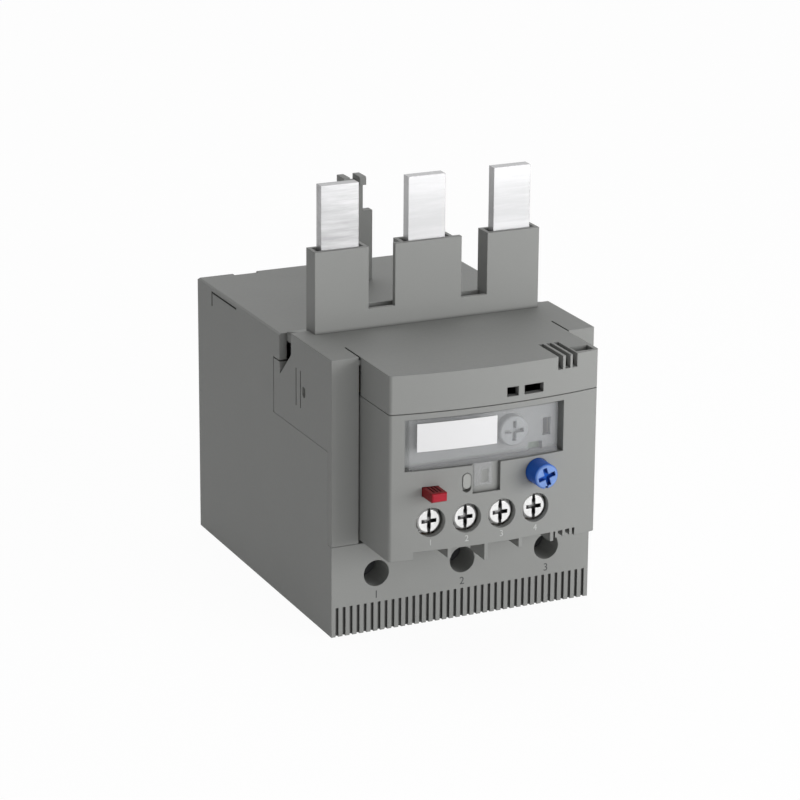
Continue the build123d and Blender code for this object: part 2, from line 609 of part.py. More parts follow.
# Setting dial on its shaft, and the spiral cam pressed on the rear end.
dial_front = FLOOR_FRONT - DIAL_HEIGHT
dial = rod_y(DIAL_X, DIAL_Z, DIAL_RADIUS, dial_front, FLOOR_FRONT)
dial = chamfer(dial.edges().group_by(Axis.Y)[0], 0.3)
dial += rod_y(DIAL_X, DIAL_Z, SHAFT_RADIUS, FLOOR_FRONT, SHAFT_END)
dial -= cross_recess(DIAL_X, DIAL_Z, 5.0, 1.0, dial_front - 1, dial_front + 1.1)
save("setting_dial", dial)
spiral = []
for k in range(9):
    angle = 2 * math.pi * k / 8
    radius = CAM_RADIUS + CAM_RISE * k / 8
    spiral.append((radius * math.cos(angle), radius * math.sin(angle)))
cam_curve = Line(spiral[-1], spiral[0])
for start in range(0, 8, 2):
    cam_curve += ThreePointArc(*spiral[start : start + 3])
cam_face = Plane.XZ.offset(-FRONT - CAM_FRONT) * Pos(DIAL_X, DIAL_Z) * make_face(cam_curve.edges())
cam = extrude(cam_face, CAM_THICKNESS, dir=(0, 1, 0))
cam -= rod_y(DIAL_X, DIAL_Z, SHAFT_RADIUS, CAM_FRONT - 1, CAM_FRONT + CAM_THICKNESS + 1)
save("setting_cam", cam)

# Reset knob that turns on its plunger, with the return spring behind the collar.
socket_end = knob_front + 3.5
knob = rod_y(KNOB_X, BUTTON_Z, KNOB_RADIUS, knob_front, knob_back)
knob = chamfer(knob.edges().group_by(Axis.Y)[0], 0.4)
knob -= cross_recess(KNOB_X, BUTTON_Z, 4.5, 1.1, knob_front - 1, knob_front + 1.2, -17)
knob -= block(KNOB_X - 0.35, KNOB_X + 0.35, knob_front - 1, knob_front + 0.8, BUTTON_Z - 4, BUTTON_Z - 2.3)
knob -= rod_y(KNOB_X, BUTTON_Z, PLUNGER_RADIUS + FIT, socket_end - FIT, knob_back + 1)
save("reset_knob", knob)
collar_back = knob_back + JOINT_GAP + 1.2
plunger = rod_y(KNOB_X, BUTTON_Z, PLUNGER_RADIUS, socket_end, PLUNGER_END)
plunger += rod_y(KNOB_X, BUTTON_Z, 2.3, knob_back + JOINT_GAP, collar_back)
save("reset_plunger", plunger)
save("reset_spring", spring_y(KNOB_X, BUTTON_Z, 2.05, 0.5, 5, collar_back, RESET_SEAT))

# Stop button with its stem and return spring.
stop_front = face_depth(STOP_X) - BUTTON_OUT
stop_collar = face_depth(STOP_X - 2.35, PANEL_WALL) + 0.1
stop_half = STOP_WIDTH / 2
stop = block(
    STOP_X - stop_half, STOP_X + stop_half, stop_front, stop_collar, STOP_Z - STOP_HEIGHT / 2, STOP_Z + STOP_HEIGHT / 2
)
stop = chamfer(stop.edges().group_by(Axis.Y)[0], 0.3)
for k in range(3):
    x = STOP_X + 0.9 * (k - 1)
    stop -= block(x - 0.2, x + 0.2, stop_front + 1.2, stop_front + BUTTON_OUT, STOP_Z + STOP_HEIGHT / 2 - 0.3, STOP_Z + 4)
stop += block(STOP_X - 2.35, STOP_X + 2.35, stop_collar, stop_collar + 1, STOP_Z - 2, STOP_Z + 2)
stop += rod_y(STOP_X, STOP_Z, STEM_RADIUS, stop_collar + 1, STOP_SEAT + SEAT_WALL + 1.5)
save("stop_button", stop)
save("stop_spring", spring_y(STOP_X, STOP_Z, 1.35, 0.4, 5, stop_collar + 1, STOP_SEAT))

# Test slide with its skirt, and the trip flag behind the recess floor.
pill_front = face_depth(TEST_X) - 0.1
pill = extrude(
    Plane.XZ.offset(-FRONT - skirt_front) * Pos(TEST_X, TEST_Z) * SlotOverall(TEST_HEIGHT, TEST_WIDTH, rotation=90),
    skirt_front - pill_front,
    dir=(0, -1, 0),
)
pill += block(
    TEST_X - skirt_half, TEST_X + skirt_half, skirt_front, skirt_front + 0.8, TEST_Z - SKIRT_DROP, TEST_Z + 2.35
)
save("test_slide", pill)
flag_d = FLOOR_BACK + JOINT_GAP
save("trip_flag", block(FLAG_X0, FLAG_X1, flag_d, flag_d + FLAG_THICKNESS, flag_bottom, flag_bottom + 4.4))


# Auxiliary terminals: screws, clamp plates and bent contact strips.
bridge_z = BUTTON_Z - 4.4
contact_top = bridge_z + 2.5
screws = []
clamps = []
strips = []
for k, x in enumerate(AUX_X):
    head_front = face_depth(x) + AUX_HEAD_INSET
    clamp_front = head_front + AUX_HEAD_HEIGHT
    strip_front = clamp_front + CLAMP_THICKNESS
    screw = rod_y(x, AUX_Z, AUX_HEAD_RADIUS, head_front, clamp_front)
    screw = chamfer(screw.edges().group_by(Axis.Y)[0], 0.4)
    screw += rod_y(x, AUX_Z, AUX_SHANK_RADIUS, clamp_front, strip_front + STRIP_THICKNESS + 2.5)
    screw -= cross_recess(x, AUX_Z, 3.9, 1.0, head_front - 1, head_front + 1.5)
    screw -= block(x - 0.4, x + 0.4, head_front - 1, head_front + 0.9, AUX_Z - 4, AUX_Z + 4)
    screws.append(screw)
    half = CLAMP_WIDTH / 2
    rise = CLAMP_HEIGHT / 2
    clamp = block(x - half, x + half, clamp_front, strip_front, AUX_Z - rise, AUX_Z + rise)
    clamps.append(clamp - rod_y(x, AUX_Z, AUX_SHANK_RADIUS + FIT, clamp_front - 1, strip_front + 1))
    half = STRIP_WIDTH / 2
    contact_back = CARRIER_FRONT if k < 2 else CARRIER_FRONT + BRIDGE_THICKNESS + OPEN_GAP + STRIP_THICKNESS
    bottom = FRAME_FLOOR
    strip = block(x - half, x + half, strip_front, strip_front + STRIP_THICKNESS, bottom, AUX_Z + AUX_HOLE_RADIUS)
    strip += block(x - half, x + half, strip_front, contact_back, bottom, bottom + STRIP_THICKNESS)
    strip += block(x - half, x + half, contact_back - STRIP_THICKNESS, contact_back, bottom, contact_top)
    notch = AUX_SHANK_RADIUS + FIT
    strips.append(strip - block(x - notch, x + notch, strip_front - 1, strip_front + 2, AUX_Z - notch, AUX_Z + half * 2))
save("aux_terminal_screws", *screws)
save("aux_clamp_plates", *clamps)
save("aux_terminal_strips", *strips)

# Contact bridges on the carrier: the left pair is closed at rest, the right pair open.
bridge_front = CARRIER_FRONT + CONTACT_GAP
bridge_back = bridge_front + BRIDGE_THICKNESS
nc_left = AUX_X[0] - 2.0
nc_right = AUX_X[1] + 1.95
no_left = AUX_X[2] - 2.0
no_right = AUX_X[3] + 2.05
save("nc_contact_bridge", block(nc_left, nc_right, bridge_front, bridge_back, bridge_z, bridge_z + 2.8))
save("no_contact_bridge", block(no_left, no_right, bridge_front, bridge_back, bridge_z, bridge_z + 2.4))
carrier_back = CARRIER_FRONT + CARRIER_DEPTH
carrier_bottom = BUTTON_Z + 0.1
carrier_top = carrier_bottom + 3.6
lever_left = -6.0
carrier = block(-20.0, 7.5, CARRIER_FRONT, carrier_back, carrier_bottom, carrier_top)
carrier += block(-13.5, -12.0, bridge_back, carrier_back, bridge_z, carrier_bottom)
carrier += block(5.5, 6.5, bridge_back, carrier_back, bridge_z, carrier_bottom)
push_d = LEVER_D + ARM_WALL / 2 + 0.15
carrier += block(-8.6, -7.4, carrier_back, push_d + 1.5, carrier_bottom, carrier_top)
carrier += block(-8.6, lever_left + 1.5, push_d, push_d + 1.5, carrier_bottom, carrier_top)
save("contact_carrier", carrier)

# Mechanism frame: a ring that stands over the load bars, with guides for the carrier.
frame_back = FRAME_FRONT + FRAME_DEPTH
frame = block(-FRAME_HALF, FRAME_HALF, FRAME_FRONT, frame_back, SEAM_HEIGHT, FRAME_TOP)
frame_inside = FRAME_HALF - FRAME_WALL
frame_roof = FRAME_TOP - FRAME_WALL
frame -= block(-frame_inside, frame_inside, FRAME_FRONT - 1, frame_back + 1, FRAME_FLOOR, frame_roof)
frame -= block(-frame_inside, frame_inside, FRAME_FRONT - 1, frame_back + 1, SEAM_HEIGHT - 1, FRAME_ARCH)
shelf_bottom = carrier_top + JOINT_GAP
guide_back = carrier_back + 1.1 + 0.3
frame += block(-frame_inside - 1, 1.0, 4.0, guide_back + 1.5, shelf_bottom, shelf_bottom + 1.5)
frame += block(-5.0, -2.0, guide_back, guide_back + 1.5, carrier_bottom - 1.4, shelf_bottom + 0.5)
frame += block(-5.0, -2.0, 4.5, guide_back + 1.5, carrier_bottom - 1.4, carrier_bottom - JOINT_GAP)
arm_bottom = UPPER_SLIDE_Z + 0.1
frame += rod_z(LEVER_X, LEVER_D, 2.2, FRAME_FLOOR - 0.5, arm_bottom - JOINT_GAP)
frame -= rod_z(LEVER_X, LEVER_D, PIN_RADIUS, FRAME_FLOOR - 1.5, frame_roof + 1.2)
save("mechanism_frame", frame)
save("lever_pin", rod_z(LEVER_X, LEVER_D, PIN_RADIUS, FRAME_FLOOR - 1.5, frame_roof + 1.2))

# Trip lever: one long arm for the slide, one for the carrier and one for the reset plunger.
arm_half = ARM_WALL / 2
lever = rod_z(LEVER_X, LEVER_D, 2.2, arm_bottom, carrier_top - 0.7)
lever_top = arm_bottom + SLIDE_HEIGHT - 2 * SLIDE_GAP
lever += block(LEVER_X - arm_half, LEVER_X + arm_half, LEVER_D, LEVER_END, arm_bottom, lever_top)
lever += block(
    lever_left, LEVER_X + 7.5, LEVER_D - arm_half, LEVER_D + arm_half, carrier_bottom - 0.4, carrier_top - 0.7
)
lever -= rod_z(LEVER_X, LEVER_D, PIN_RADIUS + LEVER_FIT, arm_bottom - 1, carrier_top)
save("trip_lever", lever)

# Slides moved by the bimetal strips, each with a finger beside every strip.
slide_back = SLIDE_FRONT + SLIDE_DEPTH
finger_near = BIMETAL_THICKNESS / 2 + 0.3
finger_far = finger_near + 1.5
slide_left = -INSIDE + 5.5
slide_right = INSIDE - 3.5
upper_top = UPPER_SLIDE_Z + SLIDE_HEIGHT
lower_top = LOWER_SLIDE_Z + SLIDE_HEIGHT
trip_slide = block(slide_left, slide_right, SLIDE_FRONT, slide_back, UPPER_SLIDE_Z, upper_top)
trip_slide += block(
    LEVER_X - arm_half - 1.5, LEVER_X - arm_half - 0.15, LEVER_END - 2.0, SLIDE_FRONT, UPPER_SLIDE_Z, upper_top
)
differential = block(slide_left, slide_right, SLIDE_FRONT, slide_back, LOWER_SLIDE_Z, lower_top)
for x in POLES:
    trip_slide += block(x + finger_near, x + finger_far, slide_back, FINGER_END, UPPER_SLIDE_Z, upper_top)
    differential += block(x - finger_far, x - finger_near, slide_back, FINGER_END, LOWER_SLIDE_Z, lower_top)
save("trip_slide", trip_slide)
save("differential_slide", differential)


# Current path of each pole: tab, heater winding, bimetal strip, load bar and box clamp.
coil_bottom = BAR_TOP + 9.5
coil_top = FOOT_BOTTOM - 2.9
coil_height = coil_top - coil_bottom
main_screws = []
for pole, x in enumerate(POLES, start=1):
    tab = block(x - TAB_WIDTH / 2, x + TAB_WIDTH / 2, tab_front, tab_back, FOOT_BOTTOM, TAB_TOP)
    tab -= block(x - TAB_WIDTH, x + TAB_WIDTH, tab_front - 1, tab_front + TAB_COIN, tower_top + 0.1, TAB_TOP + 1)
    tab += block(x - TAB_WIDTH / 2, x + TAB_WIDTH / 2, tab_front, BULKHEAD, FOOT_BOTTOM, FOOT_TOP)
    save(f"line_tab_{pole}", tab)

    strip_half = BIMETAL_THICKNESS / 2
    bimetal_top = FOOT_BOTTOM - 0.25
    bimetal_bottom = LOWER_SLIDE_Z - 0.1
    bimetal = block(
        x - strip_half, x + strip_half, BIMETAL_FRONT, BIMETAL_FRONT + BIMETAL_WIDTH, bimetal_bottom, bimetal_top
    )
    save(f"bimetal_strip_{pole}", bimetal)

    winding = coil_z(COIL_RADIUS, COIL_WIRE, COIL_TURNS, coil_height)
    coil = Pos(x, FRONT + COIL_D, coil_bottom) * Rot(Z=90) * winding
    post_front = COIL_D + COIL_RADIUS - COIL_WIRE / 2
    post_back = post_front + COIL_WIRE
    post_half = COIL_WIRE / 2
    coil += block(x - post_half, x + post_half, post_front, post_back, BAR_TOP, coil_bottom + 0.6)
    coil += block(x - post_half, x + post_half, post_front, post_back, coil_top - 0.6, FOOT_BOTTOM)
    save(f"heater_winding_{pole}", coil)

    bar = block(x - BAR_WIDTH / 2, x + BAR_WIDTH / 2, BAR_FRONT, BULKHEAD, SEAM_HEIGHT, BAR_TOP)
    bar += block(
        x - BAR_WIDTH / 2, x + BAR_WIDTH / 2, BAR_FRONT, BAR_FRONT + BAR_THICKNESS, SCREW_HEIGHT - 6, BAR_TOP
    )
    save(f"load_bar_{pole}", bar)

    clamp_front = POCKET_FRONT + JOINT_GAP
    clamp_back = POCKET_FRONT + POCKET_DEPTH - 0.7
    clamp_bottom = SCREW_HEIGHT - 5.5
    clamp_top = POCKET_TOP - 0.3
    inner = CLAMP_HALF - CLAMP_WALL
    box = block(x - CLAMP_HALF, x + CLAMP_HALF, clamp_front, clamp_back, clamp_bottom, clamp_top)
    box -= block(
        x - inner, x + inner, clamp_front + CLAMP_WALL, clamp_back - CLAMP_WALL, clamp_bottom - 1, clamp_top + 1
    )
    box -= rod_y(x, SCREW_HEIGHT, SHANK_RADIUS + FIT, clamp_front - 1, clamp_front + CLAMP_WALL + 1)
    save(f"box_clamp_{pole}", box)

    head_front = POCKET_FRONT - SCREW_HEAD
    main_screw = rod_y(x, SCREW_HEIGHT, SCREW_RADIUS, head_front, POCKET_FRONT)
    main_screw += rod_y(x, SCREW_HEIGHT, SHANK_RADIUS, POCKET_FRONT, BAR_FRONT - JOINT_GAP)
    main_screw -= cross_recess(x, SCREW_HEIGHT, 4.2, 1.0, head_front - 1, head_front + 1.8)
    main_screws.append(main_screw)
save("main_terminal_screws", *main_screws)

# Mounting hook: wide foot in a slot of the base, slit stem and two noses facing forward.
stem_half = HOOK_STEM_WIDTH / 2
hook = block(-hook_half, hook_half, hook_front, hook_back, REAR_TOP - 8.0, HOOK_FOOT_TOP)
hook += block(-stem_half, stem_half, hook_front, hook_back, HOOK_FOOT_TOP - 1, HOOK_TOP)
nose_bottom = HOOK_TOP - HOOK_NOSE_HEIGHT
hook += block(-stem_half, stem_half, hook_front - HOOK_NOSE, hook_front, nose_bottom, HOOK_TOP)
hook = chamfer(hook.edges().filter_by(Axis.X).group_by(Axis.Z)[-1].sort_by(Axis.Y)[0], 0.4)
slit_half = HOOK_SLIT / 2
slit_bottom = HOOK_TOP - HOOK_SLIT_DEPTH
hook -= block(-slit_half, slit_half, hook_front - HOOK_NOSE - 1, hook_back + 1, slit_bottom, HOOK_TOP + 1)
hook -= block(-slit_half, slit_half, hook_front - HOOK_NOSE - 1, hook_front, nose_bottom - 1, HOOK_TOP + 1)
save("mounting_hook", hook)
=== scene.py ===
import math

import bpy
from mathutils import Matrix, Vector


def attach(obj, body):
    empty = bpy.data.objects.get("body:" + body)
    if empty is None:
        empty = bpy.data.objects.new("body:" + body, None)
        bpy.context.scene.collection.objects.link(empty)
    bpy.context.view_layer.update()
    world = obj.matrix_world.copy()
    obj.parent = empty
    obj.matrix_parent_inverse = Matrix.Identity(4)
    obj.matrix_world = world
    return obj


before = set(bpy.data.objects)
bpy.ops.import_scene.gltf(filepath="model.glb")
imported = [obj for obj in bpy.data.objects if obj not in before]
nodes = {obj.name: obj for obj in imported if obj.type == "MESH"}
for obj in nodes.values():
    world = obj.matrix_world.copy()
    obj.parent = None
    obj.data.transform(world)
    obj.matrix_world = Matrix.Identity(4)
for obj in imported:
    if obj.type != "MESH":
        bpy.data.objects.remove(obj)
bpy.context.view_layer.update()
scene = bpy.context.scene

# Base housing: the deep shell that holds the three poles, moulded in mid-grey polyamide.
# Its skin has a fine spark-eroded grain, slight cloudiness from the flow of the melt,
# and edges that the mould leaves with a small round.
MM = 1 / 1000
FLOW_SHARE = 0.75
GRAIN_DEPTH = 0.06 * MM
GRAIN_GLOSS = 0.16
# Share of a colour left in narrow recesses: painted shade.
PAINTED_RECESS_SHADE = 0.3


class Wire:
    """A socket of a material; sums and products of wires add the nodes that they need."""

    def __init__(self, tree, socket=None):
        self.tree = tree
        self.socket = socket

    def node(self, kind, settings=None, out=0, **values):
        """Adds a node of that kind: its settings first, then the values or wires of its inputs.

        An input goes by its name, with _ for a space, or by i and its number.
        """
        made = self.tree.nodes.new("ShaderNode" + kind)
        for name, value in (settings or {}).items():
            setattr(made, name, value)
        for name, value in values.items():
            key = int(name[1:]) if name[1:].isdigit() else name.replace("_", " ")
            if isinstance(value, Wire):
                self.tree.links.new(value.socket, made.inputs[key])
            else:
                made.inputs[key].default_value = value
        return Wire(self.tree, made.outputs[out])

    def beside(self, name):
        """Another output of the same node."""
        return Wire(self.tree, self.socket.node.outputs[name])

    def maths(self, operation, first, second=0.0):
        return self.node("Math", {"operation": operation}, i0=first, i1=second)

    def __add__(self, other):
        return self.maths("ADD", self, other)

    def __radd__(self, other):
        return self.maths("ADD", other, self)

    def __mul__(self, other):
        return self.maths("MULTIPLY", self, other)

    def __rmul__(self, other):
        return self.maths("MULTIPLY", other, self)

    def ramp(self, empty, full):
        """0 where this wire is at empty or beyond it, rising to 1 where it is at full."""
        return self.node("MapRange", Value=self, From_Min=empty, From_Max=full)

    def blend(self, low, high):
        """Colour between low and high, with this wire as the factor."""
        return self.node("Mix", {"data_type": "RGBA"}, out=2, i0=self, i6=low, i7=high)


def linear(red, green, blue):
    """Colour as it looks on screen, 0 to 255, turned into a shader's values."""
    def one(value):
        value /= 255
        return value / 12.92 if value <= 0.04045 else ((value + 0.055) / 1.055) ** 2.4
    return (one(red), one(green), one(blue), 1.0)


def shaded(colour, share):
    """That share of a colour's light; above 1 it is paler."""
    return tuple(min(1.0, channel * share) for channel in colour[:3]) + (1.0,)


def blank(name):
    """A material, its shader and a wire to build on."""
    material = bpy.data.materials.new(name)
    material.use_nodes = True
    tree = material.node_tree
    return material, tree.nodes["Principled BSDF"], Wire(tree)


def join(shader, name, wire):
    """Runs a wire into one of the shader's sockets."""
    wire.tree.links.new(wire.socket, shader.inputs[name])


def clean_share(start, reach):
    """Where painted shade goes: 1 on open faces, down to 0 in recesses narrower than the reach in
    mm.
    """
    openness = start.node(
        "AmbientOcclusion", {"samples": 8, "only_local": True}, out="AO", Distance=reach * MM
    )
    return openness.ramp(0.35, 0.9)


def moulded(
    name, colour, grain=0.3, roughness=0.6, round_edge=0.25, cloud=0.05, reach=0, printing=None
):
    """Moulded plastic: colour, grain size in mm, roughness, edge round in mm, share of cloudiness.

    With a reach in mm, recesses narrower than it get painted shade.  Printing is a function that
    lays ink over the plastic's tone.
    """
    material, shader, start = blank(name)
    place = start.node("TexCoord", out="Object")
    flow = start.node("TexNoise", Vector=place, Scale=38.0, Detail=3.0, Roughness=0.6)
    speck = start.node("TexNoise", Vector=place, Scale=1 / (3 * grain * MM), Detail=2.0)
    clouding = flow * FLOW_SHARE + speck * (1 - FLOW_SHARE)
    tone = clouding.blend(shaded(colour, 1 - cloud), shaded(colour, 1 + cloud))
    if printing:
        tone = printing(place, tone)
    if reach:
        tone = clean_share(start, reach).blend(shaded(colour, PAINTED_RECESS_SHADE), tone)
    join(shader, "Base Color", tone)
    join(shader, "Roughness", roughness - GRAIN_GLOSS / 2 + speck * GRAIN_GLOSS)
    edge = start.node("Bevel", {"samples": 4}, Radius=round_edge * MM)
    bump = start.node("Bump", Strength=0.22, Distance=GRAIN_DEPTH, Height=speck, Normal=edge)
    join(shader, "Normal", bump)
    shader.inputs["Specular IOR Level"].default_value = 0.4
    return material


def dress(material, *names):
    """Gives CAD nodes their material."""
    for name in names:
        node = nodes[name]
        node.data.materials.clear()
        node.data.materials.append(material)


# Recesses of the base narrower than 1.2 mm get painted shade.
base_grey = moulded("base_grey_grain", linear(138, 139, 137), cloud=0.06, reach=1.2)
dress(base_grey, "base_housing")

# Contact tabs and load bars: tinned copper, drawn flat and lightly brushed across the width.
# The tabs are pressed into the towers; the bars below are cut from the same stock and end
# in box clamps of zinc-plated steel, which carry painted shade in their recesses; the screws
# down their bores are coloured dark as painted shade.
POLE_NUMBERS = (1, 2, 3)
TAB_GREYS = (187, 186, 184)
BRUSH_DEPTH = 0.03 * MM
BRUSH_DIP = 0.07
BRUSH_GLOSS = 0.16
# Colour of the painted shade in narrow recesses of metal.
PAINTED_METAL_SHADE = (0.012, 0.012, 0.013, 1)


def brushed(
    name, colour, roughness=0.32, grain=(1, 1, 1), metallic=1.0, round_edge=0.2,
    marking=0.14, reach=0,
):
    """Drawn or brushed metal; grain stretches the brush marks along the axes with small numbers.

    Marking is how much darker the marks are; with a reach in mm, narrow recesses get painted
    shade.
    """
    material, shader, start = blank(name)
    place = start.node("TexCoord", out="Object")
    place = start.node("Mapping", Vector=place, Scale=grain)
    marks = start.node("TexNoise", Vector=place, Scale=1400.0, Detail=4.0, Roughness=0.65)
    patches = start.node("TexNoise", Vector=place, Scale=160.0, Detail=3.0)
    mixed = (marks * 0.5 + patches * 0.5).ramp(0.38, 0.6)
    tone = mixed.blend(shaded(colour, 1 - marking), colour)
    if reach:
        tone = clean_share(start, reach).blend(PAINTED_METAL_SHADE, tone)
    join(shader, "Base Color", tone)
    join(shader, "Roughness", roughness - BRUSH_DIP + marks * BRUSH_GLOSS)
    edge = start.node("Bevel", {"samples": 4}, Radius=round_edge * MM)
    bump = start.node("Bump", Strength=0.25, Distance=BRUSH_DEPTH, Height=marks, Normal=edge)
    join(shader, "Normal", bump)
    shader.inputs["Metallic"].default_value = metallic
    return material


for k, grey, marking in zip(POLE_NUMBERS, TAB_GREYS, (0.34, 0.16, 0.16)):
    tinned = brushed(
        f"tinned_copper_{k}", linear(grey, grey, grey + 1),
        roughness=0.42, grain=(0.06, 1, 0.7), metallic=0.85, marking=marking,
    )
    dress(tinned, f"line_tab_{k}", f"load_bar_{k}")
# Bright zinc of box clamps, lever pin and auxiliary screws; recesses narrower than 1.8 mm get
# painted shade.
zinc = brushed(
    "bright_zinc", linear(232, 232, 231), roughness=0.3, metallic=0.7, round_edge=0.15, reach=1.8
)
dress(zinc, *[f"box_clamp_{k}" for k in POLE_NUMBERS])
# Main terminal screws: the zinc coloured dark as painted shade for their deep bores, with more
# painted shade in their recesses.
bore_shaded_zinc = brushed(
    "bore_shaded_zinc", linear(70, 71, 72), roughness=0.4, metallic=0.7, round_edge=0.15, reach=2.5
)
dress(bore_shaded_zinc, "main_terminal_screws")

# Trip works: in each pole a bimetal strip wound with heater alloy bends and pushes two cream
# moulded slides along their frame.  They swing a black lever on its steel pin, which moves
# the black carrier with its copper contact bridges, and the green flag.
bimetal = brushed("bimetal_strip", linear(186, 178, 166), roughness=0.4)
dress(bimetal, *[f"bimetal_strip_{k}" for k in POLE_NUMBERS])
heater = brushed("heater_alloy", linear(150, 146, 140), roughness=0.45)
dress(heater, *[f"heater_winding_{k}" for k in POLE_NUMBERS])
cream_plastic = moulded("cream_plastic", linear(214, 206, 184))
dress(cream_plastic, "mechanism_frame", "trip_slide", "differential_slide")
black_plastic = moulded("black_plastic", linear(34, 34, 36), roughness=0.5)
dress(black_plastic, "trip_lever", "contact_carrier")
dress(zinc, "lever_pin")
copper = brushed("contact_copper", linear(214, 152, 108), roughness=0.35)
dress(copper, "nc_contact_bridge", "no_contact_bridge")
dress(moulded("flag_green", linear(118, 132, 116), grain=0.2, roughness=0.6), "trip_flag")

# Top housing: deck, side walls and the three towers in one moulding of the same polyamide.
# It snaps down over the base with tongues in its side walls, and carries the mounting hook.
# Recesses of the housing and hook narrower than 1 mm get painted shade.
housing_grey = moulded("housing_grey_grain", linear(137, 138, 136), reach=1.0)
dress(housing_grey, "top_housing", "mounting_hook")

# Front panel: a bowed moulding of the same plastic, clipped in front of the housings.
# The floor of its recess carries a pale printed ground behind the window, and plain figures
# a few hundredths thick are printed by the auxiliary screws and under the main screw bores.
FRONT = -0.0433
MODULE_OUT = 0.0166
BOW = 0.0026
MODULE_HALF = 0.0275
RECESS_FLOOR = FRONT - MODULE_OUT + 0.0021
BOW_RADIUS = (MODULE_HALF**2 + BOW**2) / (2 * BOW)
GROUND_GREY = linear(152, 154, 154)
GROUND_NEAR = RECESS_FLOOR - 0.0001
GROUND_FAR = RECESS_FLOOR + 0.0002
GROUND_HALF = 0.026
GROUND_FOOT = 0.046
GROUND_EDGE = 0.2 * MM
INK_HALF = 0.02 * MM
INK_SUNK = 0.01 * MM
AUX_FIRST, AUX_PITCH = -0.0173, 0.00915
AUX_FIGURE, AUX_FIGURE_Z = 0.0022, 0.0282
POLE_PITCH = 0.0231
POLE_FIGURE, POLE_FIGURE_Z = 0.0028, 0.0094


def pale_ground(place, tone):
    """Lays the pale ground over the panel's tone, on the recess floor alone."""
    across = place.node("SeparateXYZ", Vector=place)
    depth = across.beside("Y")
    height = across.beside("Z")
    off_centre = across.maths("ABSOLUTE", across)
    share = depth.ramp(GROUND_NEAR - GROUND_EDGE, GROUND_NEAR)
    share = share * depth.ramp(GROUND_FAR + GROUND_EDGE, GROUND_FAR)
    share = share * off_centre.ramp(GROUND_HALF + GROUND_EDGE, GROUND_HALF)
    share = share * height.ramp(GROUND_FOOT, GROUND_FOOT + GROUND_EDGE)
    return share.blend(tone, GROUND_GREY)


def face_y(x):
    """Y of the bowed front at x."""
    centre = BOW_RADIUS - MODULE_OUT - BOW
    return FRONT + centre - math.sqrt(BOW_RADIUS**2 - x**2)


def figure(name, text, size, x, y, z, material, turn=0.0):
    """A printed figure facing forward, centred at x, z."""
    letters = bpy.data.curves.new(name, "FONT")
    letters.body = text
    letters.size = size
    letters.align_x = "CENTER"
    letters.align_y = "CENTER"
    letters.extrude = INK_HALF
    letters.resolution_u = 3
    made = bpy.data.objects.new(name, letters)
    scene.collection.objects.link(made)
    upright = Matrix.Rotation(turn, 4, "Z") @ Matrix.Rotation(math.pi / 2, 4, "X")
    made.matrix_world = Matrix.Translation((x, y + INK_SUNK, z)) @ upright
    letters.materials.append(material)
    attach(made, "housing")


# Recesses of the panel narrower than 1.4 mm get painted shade.
panel_grey = moulded(
    "panel_grey_grain", linear(136, 137, 135), reach=1.4, printing=pale_ground
)
dress(panel_grey, "front_panel")
pale_ink = moulded("pale_ink", linear(196, 197, 196), grain=0.15, roughness=0.5, cloud=0.08)
dark_ink = moulded("dark_ink", linear(70, 71, 72), grain=0.15, roughness=0.5, cloud=0.08)
for k in range(4):
    x = AUX_FIRST + AUX_PITCH * k
    turn = math.asin(x / BOW_RADIUS)
    number = str(k + 1)
    figure(f"aux_figure_{number}", number, AUX_FIGURE, x, face_y(x), AUX_FIGURE_Z, pale_ink, turn)
for k in POLE_NUMBERS:
    x = (k - 2) * POLE_PITCH
    figure(f"pole_figure_{k}", str(k), POLE_FIGURE, x, FRONT, POLE_FIGURE_Z, dark_ink)

# Auxiliary terminals: four zinc-plated steel screws with cross recesses, each with a steel
# clamp plate under its head, screwed into bent copper strips that lead to the contacts.
# The zinc of these screws and plates carries painted shade in its cross recesses.
dress(zinc, "aux_terminal_screws", "aux_clamp_plates")
dress(copper, "aux_terminal_strips")

# Setting dial: pale grey plastic with a cross recess, standing on the pale printed ground.
# Its shaft is pressed into a black cam behind the panel.
# Recesses of the dial narrower than 0.8 mm, such as its cross recess, get painted shade.
dial_plastic = moulded(
    "dial_plastic", linear(160, 163, 164), grain=0.2, roughness=0.45, reach=0.8
)
dress(dial_plastic, "setting_dial")
dress(black_plastic, "setting_cam")

# Reset knob, stop button and test slide: through-coloured plastic with a satin gloss.
# Knob and button carry painted light on their front faces, paler than their sides, with random
# scuffs there; their sides and recesses carry painted shade.  Coiled spring wire behind knob and
# button pushes them out again.
# Faces within these depths of the front get the lit colour as painted light; faces behind get the
# shaded side colour as painted shade.
LIT_FACE_NEAR = 0.05 * MM
LIT_FACE_DEEP = 0.4 * MM


def rubbed(name, node_name, lit_face, shaded_side, recess_shade, reach):
    """Satin plastic: painted light on that node's front face, painted shade on the faces behind it
    and in recesses narrower than reach.
    """
    material, shader, start = blank(name)
    front = min(vertex.co.y for vertex in nodes[node_name].data.vertices)
    place = start.node("TexCoord", out="Object")
    depth = start.node("SeparateXYZ", out="Y", Vector=place)
    behind = depth.ramp(front + LIT_FACE_NEAR, front + LIT_FACE_DEEP)
    speck = start.node("TexNoise", Vector=place, Scale=1600.0, Detail=2.0)
    scuffs = start.node("TexNoise", Vector=place, Scale=500.0, Detail=4.0, Distortion=1.0)
    pale = scuffs.blend(shaded(lit_face, 0.84), shaded(lit_face, 1.14))
    tone = behind.blend(pale, shaded_side)
    join(shader, "Base Color", clean_share(start, reach).blend(recess_shade, tone))
    join(shader, "Roughness", 0.3 + scuffs * 0.14)
    edge = start.node("Bevel", {"samples": 4}, Radius=0.3 * MM)
    bump = start.node("Bump", Strength=0.2, Distance=0.05 * MM, Height=speck, Normal=edge)
    join(shader, "Normal", bump)
    shader.inputs["Specular IOR Level"].default_value = 0.22
    return material


